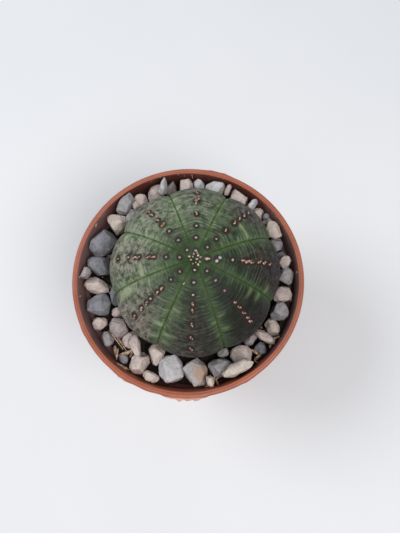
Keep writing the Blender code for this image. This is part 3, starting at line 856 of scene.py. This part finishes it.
R, H, COLLAR = RIM_RADIUS, POT_HEIGHT, wall_at(COLLAR_BASE)
foot_and_wall = [
    (0, 1.4), (16.6, 1.4), (16.6, 0), (18.9, 0), (wall_at(0.6), 0.9), (wall_at(14), 14),
    (wall_at(27), 27), (COLLAR, COLLAR_BASE),
]
collar_and_rim = [
    (COLLAR + COLLAR_STEP - 0.1, COLLAR_BASE + 0.25), (COLLAR + COLLAR_STEP, COLLAR_BASE + 1.0),
    (R - 0.30, H - 2.2), (R, H - 1.3), (R - 0.02, H - 0.45), (R - 0.45, H), (R - 0.82, H - 0.05),
    (R - 0.93, H - 0.16), (R - 1.04, H - 0.12), (R - 1.28, H - 0.18), (R - 1.42, H - 0.6),
]
inner_wall = [
    (R - 1.95, COLLAR_BASE + 0.7), (COLLAR - WALL, COLLAR_BASE - 0.3), (wall_at(20) - WALL, 20),
    (wall_at(3.3) - WALL, 3.3), (wall_at(2.5) - WALL - 0.7, 2.5), (0, 2.5),
]
profile = eased(foot_and_wall + collar_and_rim + inner_wall, 0.32)
print("pot outline:", len(profile), "points")

# %% Turn the pot
FLASH = [  # bearing, half width in degrees, how far it stands out in mm
    (269, 12, 1.05), (237, 6, 0.45), (74, 8, 0.35), (250, 4, 0.2), (301, 4, 0.2), (207, 3, 0.15),
]
TURNS = 288


def flash_out(bearing, up):
    """How far the rough flash stands out of the lip."""
    burr = 0.0
    for centre, wide, much in FLASH:
        torn = abs(noise.noise(Vector((bearing * 0.55, up * 1.4, centre))))
        gap = bearing_gap(bearing, centre)
        burr += much * max(0, 1 - (gap / wide) ** 2) * (0.35 + 0.9 * torn)
    return burr


def joined(bm, rings):
    """Closes rings of points into a skin; a ring of one point is the middle of a cap."""
    for low, high in zip(rings, rings[1:]):
        turns = max(len(low), len(high))
        for i in range(turns):
            j = (i + 1) % turns
            if len(low) == 1:
                bm.faces.new((low[0], high[j], high[i]))
            elif len(high) == 1:
                bm.faces.new((low[i], low[j], high[0]))
            else:
                bm.faces.new((low[i], low[j], high[j], high[i]))
    bmesh.ops.recalc_face_normals(bm, faces=bm.faces)


bm = bmesh.new()
rings = []
for radius, up in profile:
    on_axis, on_lip = radius < 1e-6, up > H - 2.0 and radius > R - 0.5
    ring = []
    for i in range(1 if on_axis else TURNS):
        bearing = 360 * i / TURNS
        direction = Vector((math.cos(math.radians(bearing)), math.sin(math.radians(bearing)), 0))
        burr = flash_out(bearing, up) if on_lip else 0.0
        sag = 0.05 * noise.noise(direction * 2.5 + Vector((0, 0, up * 0.05)))
        reach = radius + burr + (sag if radius > 16 else 0)
        ring.append(bm.verts.new(direction * reach + Vector((0, 0, up))))
    rings.append(ring)
joined(bm, rings)
pot = object_of(bm, "nursery_pot")
print("turned pot:", len(pot.data.polygons), "faces")

# %% Drain holes and foot notches
def turned(bearing, *place):
    """A shift away from the middle, swung round the pot's axis to a bearing."""
    return Matrix.Rotation(math.radians(bearing), 4, "Z") @ Matrix.Translation(place)


cutters = bmesh.new()
hole = {"cap_ends": True, "segments": 40, "radius1": 2.5, "radius2": 2.5, "depth": 6}
for bearing in range(0, 360, 60):
    bmesh.ops.create_cone(cutters, matrix=turned(bearing, 10.5, 0, 2), **hole)
notch = Matrix.Diagonal((6, 3, 1.4, 1))
for bearing in (60, 180, 300):
    bmesh.ops.create_cube(cutters, size=1, matrix=turned(bearing, 18, 0, 0) @ notch)
drains = object_of(cutters, "drain_cutter")
cut = pot.modifiers.new("drains", "BOOLEAN")
cut.object, cut.operation, cut.solver = drains, "DIFFERENCE", "EXACT"
bake(pot)
bpy.data.objects.remove(drains)
smooth(pot.data)
pot.data.set_sharp_from_angle(angle=math.radians(50))
print("drained pot:", len(pot.data.polygons), "faces")

# %% [markdown]
# ## Terracotta-coloured plastic
# The plastic has one colour all through, slightly cloudy, with a satin shine. Handling has left
# hair-fine scratches round the rim, the flash is stretched and paler, and watering has left
# mineral dust on the inside wall. The inside wall also carries painted shade that deepens further
# down, left out near the top of the near side as if lit there; the inside walls at the sides get
# painted light, and the groove in the rim a fine line of painted shade.

# %% Places on the pot
clay = Finish("terracotta_plastic")
cx, cy, cz = clay.parts(clay.place)
from_axis = (cx * cx + cy * cy) ** 0.5
flat = clay.on_vector("MULTIPLY", clay.place, (1, 1, 0))
ax, ay, _ = clay.parts(clay.on_vector("NORMALIZE", flat))
half_wall = wall_at(cz) - 0.45 + cz.between(39.2, 40.8) * 0.75
half_wall = half_wall.math("MINIMUM", RIM_RADIUS - 1.3)
inside = (1 - (from_axis - half_wall).between(-0.15, 0.15)) * cz.between(1.8, 2.2)
# painted light: the inside walls at the sides are lightened
lit_side_walls = ax.math("ABSOLUTE").between(0.55, 0.97)
# the top of the near inside wall is left out of the painted shade, as if lit
lit_near_wall = (-ay).between(0.50, 0.90) * cz.between(POT_HEIGHT - 7.5, POT_HEIGHT - 5)
flash = from_axis.between(RIM_RADIUS + 0.03, RIM_RADIUS + 0.22)
flash = flash * cz.between(POT_HEIGHT - 3, POT_HEIGHT - 2)
# painted shade: a dark line in the groove of the rim
groove = from_axis.between(RIM_RADIUS - 1.10, RIM_RADIUS - 0.96)
groove = groove * (1 - from_axis.between(RIM_RADIUS - 0.90, RIM_RADIUS - 0.78))
groove = groove * cz.between(POT_HEIGHT - 1, POT_HEIGHT - 0.6)
# painted shade that deepens further down the inside wall
deep_inner_shade = (1 - cz.between(POT_HEIGHT - 4.5, POT_HEIGHT - 1.0)) * inside * (1 - lit_near_wall)
print("places on the pot:", len(clay.tree.nodes), "nodes")

# %% Pot finish
cloud, speckle = clay.noise(9, 3, 0.5), clay.noise(0.5, 3, 0.6)
hairs = clay.vector(ax * 5, ay * 5, cz * 6 + from_axis * 5)
scratches = clay.noise(1, 3, 0.7, at=hairs).between(0.60, 0.72)
dust = (1 - clay.cells(1.5).between(0.06, 0.16)) * clay.noise(4, 2).between(0.46, 0.6) * inside
film = clay.noise(1.4, 4, 0.7).between(0.52, 0.75) * inside
colour = clay.coats(
    clay.mix(cloud.between(0.3, 0.7), (0.300, 0.078, 0.038), (0.375, 0.106, 0.053)),
    (speckle.between(0.5, 0.75) * 0.25, (0.46, 0.19, 0.12)),
    (scratches * 0.30, (0.56, 0.27, 0.19)),
    (flash * 0.8, (0.74, 0.43, 0.34)),
    # painted shade in the rim's groove
    (groove * 0.35, (0.120, 0.028, 0.018)),
    # painted shade on the inside wall, then deeper painted shade lower down
    (inside * (1 - lit_near_wall) * 0.88, (0.105, 0.032, 0.025)),
    (deep_inner_shade * 0.85, (0.085, 0.034, 0.030)),
    # painted light on the inside walls at the sides
    (lit_side_walls * inside * 0.60, (0.340, 0.215, 0.215)),
    (film * 0.18, (0.42, 0.30, 0.26)),
    (dust * 0.8, (0.68, 0.62, 0.58)),
)
gloss = 0.36 + 0.12 * cloud + 0.3 * dust + 0.12 * film
relief = 0.5 * speckle + 0.4 * scratches + 0.6 * dust
clay.done(colour, gloss, relief, 0.04, Specular_IOR_Level=0.5)
dress(pot, clay)
belongs(pot, "terracotta", "pot")
print("pot finish:", len(clay.tree.nodes), "nodes")

# %% [markdown]
# ## The stones
# The top dressing is crushed river gravel: no two stones are alike, so each one is a main piece and
# starts from its own packed stone. The flat facets stay and the edges wear round: a bevel does
# that, narrow on slate, which breaks sharp, and wide on sandstone, which rubs soft. A remesh then
# gives the stone even little faces, and noise along the normals gives them their dents.

# %% Strike chips off a stone
FACE = 0.115  # width of one face of a finished stone, in mm
WEAR = {  # width of the worn edge, growth, chips struck off, depth of dents, width of a dent (mm)
    "sand": (0.20, 1.13, 7, 0.13, 1.5), "cream": (0.22, 1.12, 6, 0.14, 1.6),
    "pale": (0.15, 1.13, 8, 0.13, 1.3), "grey": (0.11, 1.13, 9, 0.12, 1.1),
    "slate": (0.07, 1.08, 5, 0.10, 1.2), "mauve": (0.12, 1.13, 8, 0.11, 1.3),
    "rust": (0.18, 1.10, 5, 0.14, 1.5), "straw": (0.04, 1.0, 0, 0.05, 0.7),
}


def struck(bm, centre, chips, seed):
    """Knocks flat chips off a stone: planes that cut its outermost corners away."""
    blows = random.Random(seed)
    for _ in range(chips):
        blow = Vector((blows.gauss(0, 1), blows.gauss(0, 1), blows.gauss(0.25, 1))).normalized()
        reach = max((v.co - centre).dot(blow) for v in bm.verts) * blows.uniform(0.72, 0.93)
        plane = {"plane_co": centre + blow * reach, "plane_no": blow, "clear_outer": True}
        everything = bm.verts[:] + bm.edges[:] + bm.faces[:]
        cut = bmesh.ops.bisect_plane(bm, geom=everything, dist=1e-6, **plane)
        rim = [e for e in cut["geom_cut"] if isinstance(e, bmesh.types.BMEdge)]
        bmesh.ops.holes_fill(bm, edges=rim, sides=0)
    bmesh.ops.remove_doubles(bm, verts=bm.verts, dist=0.05 * MM)
    bmesh.ops.dissolve_limit(bm, angle_limit=math.radians(4), verts=bm.verts, edges=bm.edges)


print("kinds of wear:", len(WEAR))

# %% Wear the edges round and dent the faces
def soft_copy(node, worn, growth, chips, is_stone):
    """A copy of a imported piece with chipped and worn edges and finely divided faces."""
    bm = bmesh.new()
    bm.from_mesh(frame["nodes"][node].data)
    bmesh.ops.remove_doubles(bm, verts=bm.verts, dist=1e-6)
    bmesh.ops.dissolve_limit(bm, angle_limit=math.radians(2), verts=bm.verts, edges=bm.edges)
    bmesh.ops.recalc_face_normals(bm, faces=bm.faces)
    centre = sum((v.co for v in bm.verts), Vector()) / len(bm.verts)
    from_centre = Matrix.Translation(-centre)
    bmesh.ops.scale(bm, vec=(growth,) * 3, space=from_centre, verts=bm.verts)
    struck(bm, centre, chips, node)
    piece = object_of(bm, node + "_worn", 1)
    rounder = piece.modifiers.new("worn_edges", "BEVEL")
    rounder.width, rounder.segments, rounder.angle_limit = worn * MM, 2, math.radians(12)
    divider = piece.modifiers.new("even_faces", "REMESH" if is_stone else "SUBSURF")
    if is_stone:
        divider.mode, divider.voxel_size = "VOXEL", FACE * MM
    else:
        divider.subdivision_type, divider.levels, divider.render_levels = "SIMPLE", 2, 2
    return piece


def dented(mesh, dent, dent_size):
    """Pushes every point in or out along its normal by noise of three sizes."""
    seed = mesh.vertices[0].co * 371
    pushed = []
    for v, normal in zip(mesh.vertices, [Vector(n.vector) for n in mesh.vertex_normals]):
        at = v.co / MM
        push = noise.noise(at / dent_size + seed) + 0.45 * noise.noise(at / dent_size * 2.7 + seed)
        push -= 0.5 * max(0, noise.noise(at / 0.8 + seed * 2) - 0.45)
        pushed.extend(v.co + normal * push * dent * MM)
    mesh.vertices.foreach_set("co", pushed)
    mesh.update()
    smooth(mesh)


print("width of a stone's face:", FACE, "mm")

# %% Weathered stones
worn = {
    node: soft_copy(node, *WEAR[slot][:3], slot != "straw")
    for node, slot in slot_of.items() if slot in WEAR
}
for node, piece in worn.items():
    bake(piece)
    dented(piece.data, *WEAR[slot_of[node]][3:])
    belongs(piece, slot_of[node], node)
print("worn pieces:", len(worn), "faces:", sum(len(s.data.polygons) for s in worn.values()))

# %% [markdown]
# ## Stone finishes
# Seven kinds of rock share one way of being painted: a cloudy body colour that also drifts from
# stone to stone, a fine grain, a paler skin on the faces that look up, partly dust and partly
# painted light from above, and dark pits. One function does it, so a new rock is one more row of
# colours. Layered rocks show thin bands, the slates most of all, and the one rusty stone has an
# iron stain on one side.

# %% Rock
def scaled(colour, by):
    return tuple(c * by for c in colour)


def iron_stain(stone, node):
    """A rusty patch on one side of a stone, as a share and a colour."""
    low, high = [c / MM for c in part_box(node)]
    x, y, _ = stone.parts(stone.place)
    beside = (x - (low.x + 0.80 * (high.x - low.x))) ** 2
    reach = beside + (y - (low.y + 0.48 * (high.y - low.y))) ** 2
    stain = 1 - (reach ** 0.5 + (stone.noise(1.5) - 0.5) * 2.5).between(1.2, 3.0)
    return stain * 0.85, (0.340, 0.225, 0.155)


def rock(name, dark, light, tint, layered=0.0, top_light_and_dust=0.22, stained=None):
    """One kind of stone; stained names the piece that carries a rusty patch."""
    stone = Finish(name)
    body_cloud, from_stone = stone.noise(2.2, 4, 0.6, warp=0.4), stone.noise(9, 1)
    share = (0.55 * body_cloud.between(0.3, 0.7) + 0.9 * (from_stone - 0.3)).held()
    tinted = stone.noise(1.2, 3, 0.6, warp=1.0).between(0.56, 0.7)
    x, y, z = stone.parts(stone.place)
    bedding = stone.vector(x * 0.35 + z * 0.8, y * 0.35 - z * 0.5, z * 2.4 + x * 1.3)
    layers = stone.noise(1, 3, 0.6, at=bedding).between(0.42, 0.6)
    veins = 1 - ((stone.noise(2.6, 3, 0.6, warp=1.5) - 0.5).math("ABSOLUTE") * 40).held()
    _, _, up = stone.parts(stone.value("ShaderNodeNewGeometry", output=1))
    # paler upward faces: partly dust, partly painted light from above
    dust = up.between(0.25, 0.95) * (0.5 + stone.noise(0.8, 3, 0.6).between(0.35, 0.65))
    grain = stone.noise(0.22, 3, 0.65)
    pits = (1 - stone.cells(0.55).between(0.08, 0.2)) * stone.noise(1.6, 2).between(0.5, 0.62)
    colour = stone.coats(
        stone.mix(share, dark, light),
        (tinted * 0.35, tint),
        (layers * layered, scaled(light, 1.35)),
        (veins * stone.noise(3, 1).between(0.5, 0.62) * 0.6, scaled(dark, 0.45)),
        (dust * top_light_and_dust, tuple(min(0.75, c * 1.25 + 0.06) for c in light)),
        (grain.between(0.3, 0.75) * 0.22, scaled(dark, 0.55)),
        (pits * 0.55, scaled(dark, 0.35)),
        *([iron_stain(stone, stained)] if stained else []),
    )
    relief = grain * 0.6 - pits * 0.9 + 0.5 * stone.noise(0.6, 3)
    stone.done(colour, 0.78 + 0.12 * grain, relief, 0.12, Specular_IOR_Level=0.35)
    return stone


print("rock recipe ready")

# %% Seven rocks
rusty = next(node for node, slot in slot_of.items() if slot == "rust")
ROCKS = {  # name, dark, light, tint of the patches, share of layers, then of dust with painted top light
    "sand": ("sandstone", (0.33, 0.255, 0.23), (0.57, 0.475, 0.44), (0.42, 0.295, 0.235)),
    "cream": ("cream_limestone", (0.38, 0.305, 0.26), (0.62, 0.525, 0.465), (0.47, 0.34, 0.26)),
    "pale": ("pale_quartzite", (0.28, 0.268, 0.272), (0.53, 0.515, 0.525), (0.33, 0.32, 0.34), 0.2),
    "grey": ("grey_limestone", (0.17, 0.16, 0.165), (0.35, 0.33, 0.34), (0.25, 0.225, 0.22), 0.25),
    "slate": (
        "blue_slate", (0.085, 0.085, 0.096), (0.185, 0.184, 0.202), (0.13, 0.125, 0.13), 0.5, 0.3),
    "mauve": ("mauve_shale", (0.2, 0.165, 0.165), (0.37, 0.315, 0.315), (0.26, 0.195, 0.185), 0.2),
    "rust": (
        "rusty_sandstone", (0.27, 0.25, 0.245), (0.45, 0.425, 0.42), (0.5, 0.4, 0.3), 0, 0.22,
        rusty),
}
ROCKS = {slot: rock(*row) for slot, row in ROCKS.items()}
for node, piece in worn.items():
    if slot_of[node] in ROCKS:
        dress(piece, ROCKS[slot_of[node]])
print("rock finishes:", len(ROCKS))

# %% [markdown]
# ## Potting mix
# Between the stones the eye falls into near-black, crumbly potting mix: the peat's own dark brown,
# darkened further as painted shade in the gaps. Its top is a finely divided disc pushed up and
# down by noise; below, it closes against the inside of the pot. Loose crumbs and a little pale
# grit are scattered on top by a recipe with a fixed seed.

# %% Mix surface
MIX_LEVEL, MIX_BANK = POT_HEIGHT - 5.6, 0.9  # height of the mix, and how much it rises at the back
MIX_TURNS, MIX_RINGS = 200, 64
mix_low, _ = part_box("potting_mix")
mix_bottom = (mix_low / MM).z
inside_of = wall_at(COLLAR_BASE) - WALL - 0.12


def crumbly(at):
    """Height of the mix over a place."""
    rough = 0.55 * noise.noise(at / 2.6) + 0.35 * noise.noise(at / 0.9)
    rough += 0.2 * noise.noise(at / 0.35)
    return MIX_LEVEL + MIX_BANK * at.y / RIM_RADIUS + rough - 0.25


bm = bmesh.new()
rings = [[bm.verts.new((0, 0, mix_bottom))]]
sides = [(wall_at(up) - WALL - 0.3, up) for up in (mix_bottom, 20, 39.4)]
top = [(inside_of * (1 - (i / MIX_RINGS)), None) for i in range(MIX_RINGS)]
for radius, up in sides + top:
    ring = []
    for i in range(MIX_TURNS):
        bearing = math.tau * i / MIX_TURNS
        at = Vector((radius * math.cos(bearing), radius * math.sin(bearing), 0))
        at.z = crumbly(at) if up is None else up
        ring.append(bm.verts.new(at))
    rings.append(ring)
rings.append([bm.verts.new((0, 0, MIX_LEVEL))])
joined(bm, rings)
soil = object_of(bm, "mix_surface")
print("mix surface:", len(soil.data.polygons), "faces")

# %% Potting mix finish
humus = Finish("potting_mix")
peat_cloud, peat_grain = humus.noise(1.2, 4, 0.65), humus.noise(0.3, 4, 0.7)
# near-black peat: the mix's own dark brown, pushed darker as painted shade between the stones
peat = humus.mix(peat_cloud.between(0.35, 0.7), (0.010, 0.007, 0.006), (0.030, 0.020, 0.014))
peat = humus.mix(peat_grain.between(0.62, 0.74) * 0.5, peat, (0.085, 0.058, 0.040))
humus.done(peat, 0.9, peat_grain + peat_cloud, 0.3, Specular_IOR_Level=0.25)
dress(soil, humus)
belongs(soil, "mix", "potting_mix")
print("potting mix finish:", len(humus.tree.nodes), "nodes")

# %% Recipe that scatters copies on a surface
scatter = Recipe(
    "scatter_on_top",
    Copy=bpy.types.Object, Density=float, Smallest=float, Largest=float, Seed=int)
seed, smallest = scatter.size("Seed"), scatter.size("Smallest")
surface = {"Mesh": scatter.size("Geometry"), "Density": scatter.size("Density"), "Seed": seed}
spots = scatter.value("GeometryNodeDistributePointsOnFaces", {}, surface)
full_turn = {0: (0, 0, 0), 1: (math.tau,) * 3, "Seed": seed + 1}
spin = scatter.value("FunctionNodeRandomValue", {"data_type": "FLOAT_VECTOR"}, full_turn)
chance = {2: 0, 3: 1, "Seed": seed + 2}
big = scatter.value("FunctionNodeRandomValue", {"data_type": "FLOAT"}, chance, output=1)
big = smallest + (scatter.size("Largest") - smallest) * big ** 2.5
laid = {
    "Points": spots, "Instance": scatter.shape_of("Copy"),
    "Rotation": scatter.value("FunctionNodeEulerToRotation", {}, {0: spin}),
    "Scale": scatter.vector(big, big, big),
}
scatter.end(scatter.value("GeometryNodeInstanceOnPoints", {}, laid))
print("scatter recipe:", len(scatter.tree.nodes), "nodes")

# %% Crumbs and grit
def ring_area(inner, outer, lift=0.0):
    """The open ring of mix between the plant and the pot, as a base to scatter on."""
    middle = Vector((PLANT_MIDDLE.x, PLANT_MIDDLE.y, 0)) * MM

    def hidden(v):
        flat = Vector((v.co.x, v.co.y, 0))
        covered = flat.length > outer * MM or (flat - middle).length < inner * MM
        return covered or v.co.z < (MIX_LEVEL - 2.5) * MM

    bm = bmesh.new()
    bm.from_mesh(soil.data)
    bmesh.ops.delete(bm, geom=[v for v in bm.verts if hidden(v)], context="VERTS")
    bmesh.ops.translate(bm, vec=(0, 0, lift * MM), verts=bm.verts)
    mesh = bpy.data.meshes.new("ring_area")
    bm.to_mesh(mesh)
    bm.free()
    return mesh


crumbs = {"Density": 9e5, "Smallest": 0.25 * MM, "Largest": 1.3 * MM, "Seed": 4}
grit = {"Density": 7e4, "Smallest": 0.35 * MM, "Largest": 1.3 * MM, "Seed": 12}
crumbs["Copy"] = lump("crumb_shape", 1, 0.9, 5.0)
grit["Copy"] = lump("grit_shape", 2, 0.8, 21.0, 0.7)
crumb_area, grit_area = ring_area(15.5, inside_of - 0.6), ring_area(16.5, inside_of - 0.8, 0.3)
belongs(scatter.make("mix_crumbs", humus, crumb_area, **crumbs), "mix", "potting_mix")
belongs(scatter.make("loose_grit", ROCKS["sand"], grit_area, **grit), "sand")
print("area of crumbs:", len(crumb_area.polygons), "faces")

# %% [markdown]
# ## Dry litter
# A few bits of last year's growth lie in the gravel: a long dry stem, papery husks and a chip of
# bark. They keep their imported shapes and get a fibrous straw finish; smaller flakes are added with
# the recipe that sets copies on points.

# %% Straw finish and litter
straw = Finish("dry_straw")
sx, sy, sz = straw.parts(straw.place)
fibres_at = straw.vector(sx * 1.1 + sy * 2.6, sy * 1.1 - sx * 2.2, sz * 3)
fibres, straw_cloud = straw.noise(1, 3, 0.6, at=fibres_at), straw.noise(1.1, 3, 0.6)
straw_colour = straw.mix(fibres.between(0.36, 0.64), (0.20, 0.105, 0.062), (0.55, 0.40, 0.28))
damp = straw_cloud.between(0.5, 0.7) * 0.5
straw_colour = straw.mix(damp, straw_colour, (0.13, 0.062, 0.040))
straw.done(straw_colour, 0.72, fibres + 0.5 * straw_cloud, 0.12, Specular_IOR_Level=0.35)
litter = [node for node in worn if slot_of[node] == "straw"]
for node in litter:
    dress(worn[node], straw)
print("litter:", litter)

# %% Husk flakes
FLAKES = [  # bearing from the pot's middle, reach, height, length, width, turn, tip up
    (284, 24.6, 1.2, 2.4, 0.5, 70, 20), (286, 25.2, 1.5, 1.7, 0.4, 110, 35),
    (281, 25.3, 1.4, 1.5, 0.35, 20, 10), (312, 24.6, 1.3, 2.2, 0.6, 40, 25),
    (310, 25.4, 1.6, 1.3, 0.35, 150, 40), (233, 25.6, 1.6, 2.8, 0.45, 150, 12),
    (229, 22.9, 1.5, 3.0, 0.5, 20, 15), (231, 21.6, 1.9, 2.4, 0.5, 35, 22),
    (226, 24.4, 1.0, 2.0, 0.4, 80, 5), (162, 22.4, 1.6, 1.8, 0.9, 60, 20),
    (164, 23.0, 1.6, 1.2, 0.6, 120, 30), (328, 25.6, 1.5, 2.0, 0.35, 120, 18),
    (322, 25.0, 1.0, 1.3, 0.5, 60, 0), (88, 26.0, 3.2, 1.5, 0.2, 100, 50),
    (212, 23.5, 1.0, 1.2, 0.5, 10, 10), (350, 25.2, 0.8, 1.1, 0.4, 75, 8),
    (219.6, 22.2, 2.2, 4.6, 0.26, -52, 8), (283, 23.9, 1.7, 1.5, 0.45, 100, 30),
    (285.5, 24.3, 1.2, 1.4, 0.5, 30, 15), (279.5, 25.0, 1.0, 1.3, 0.4, 5, 10),
    (313, 23.4, 2.0, 1.7, 0.6, 150, 15), (326, 24.8, 1.9, 1.9, 0.45, 20, 20),
    (179, 25.9, 4.2, 0.4, 0.3, 0, 0), (3.5, 25.95, 4.2, 0.4, 0.3, 0, 0),
    (189, 25.9, 4.0, 0.35, 0.25, 40, 0), (149.5, 25.8, 4.4, 0.8, 0.3, 60, 30),
]
flake = lump("flake_shape", 2, 0.5, 14.0, 0.35)
spots = []
for bearing, reach, up, length, wide, turn, tip in FLAKES:
    angle = math.radians(bearing)
    x, y = reach * math.cos(angle), reach * math.sin(angle)
    place = Vector((x, y, MIX_LEVEL + MIX_BANK * y / RIM_RADIUS + up)) + Vector((0, 0, 0.5))
    lean = Euler((0.3, -math.radians(tip), math.radians(turn)))
    spots.append((place, lean, Vector((length, wide, wide * 0.8)) * 1.3))
belongs(set_copies("husk_flakes", flake, spots, straw), "straw")
print("husk flakes:", len(spots))

# %% [markdown]
# ## Clearing up
# The small shapes that were only used for copying are removed.

# %% Remove the shapes used for copies
for shape in shapes:
    bpy.data.objects.remove(shape)
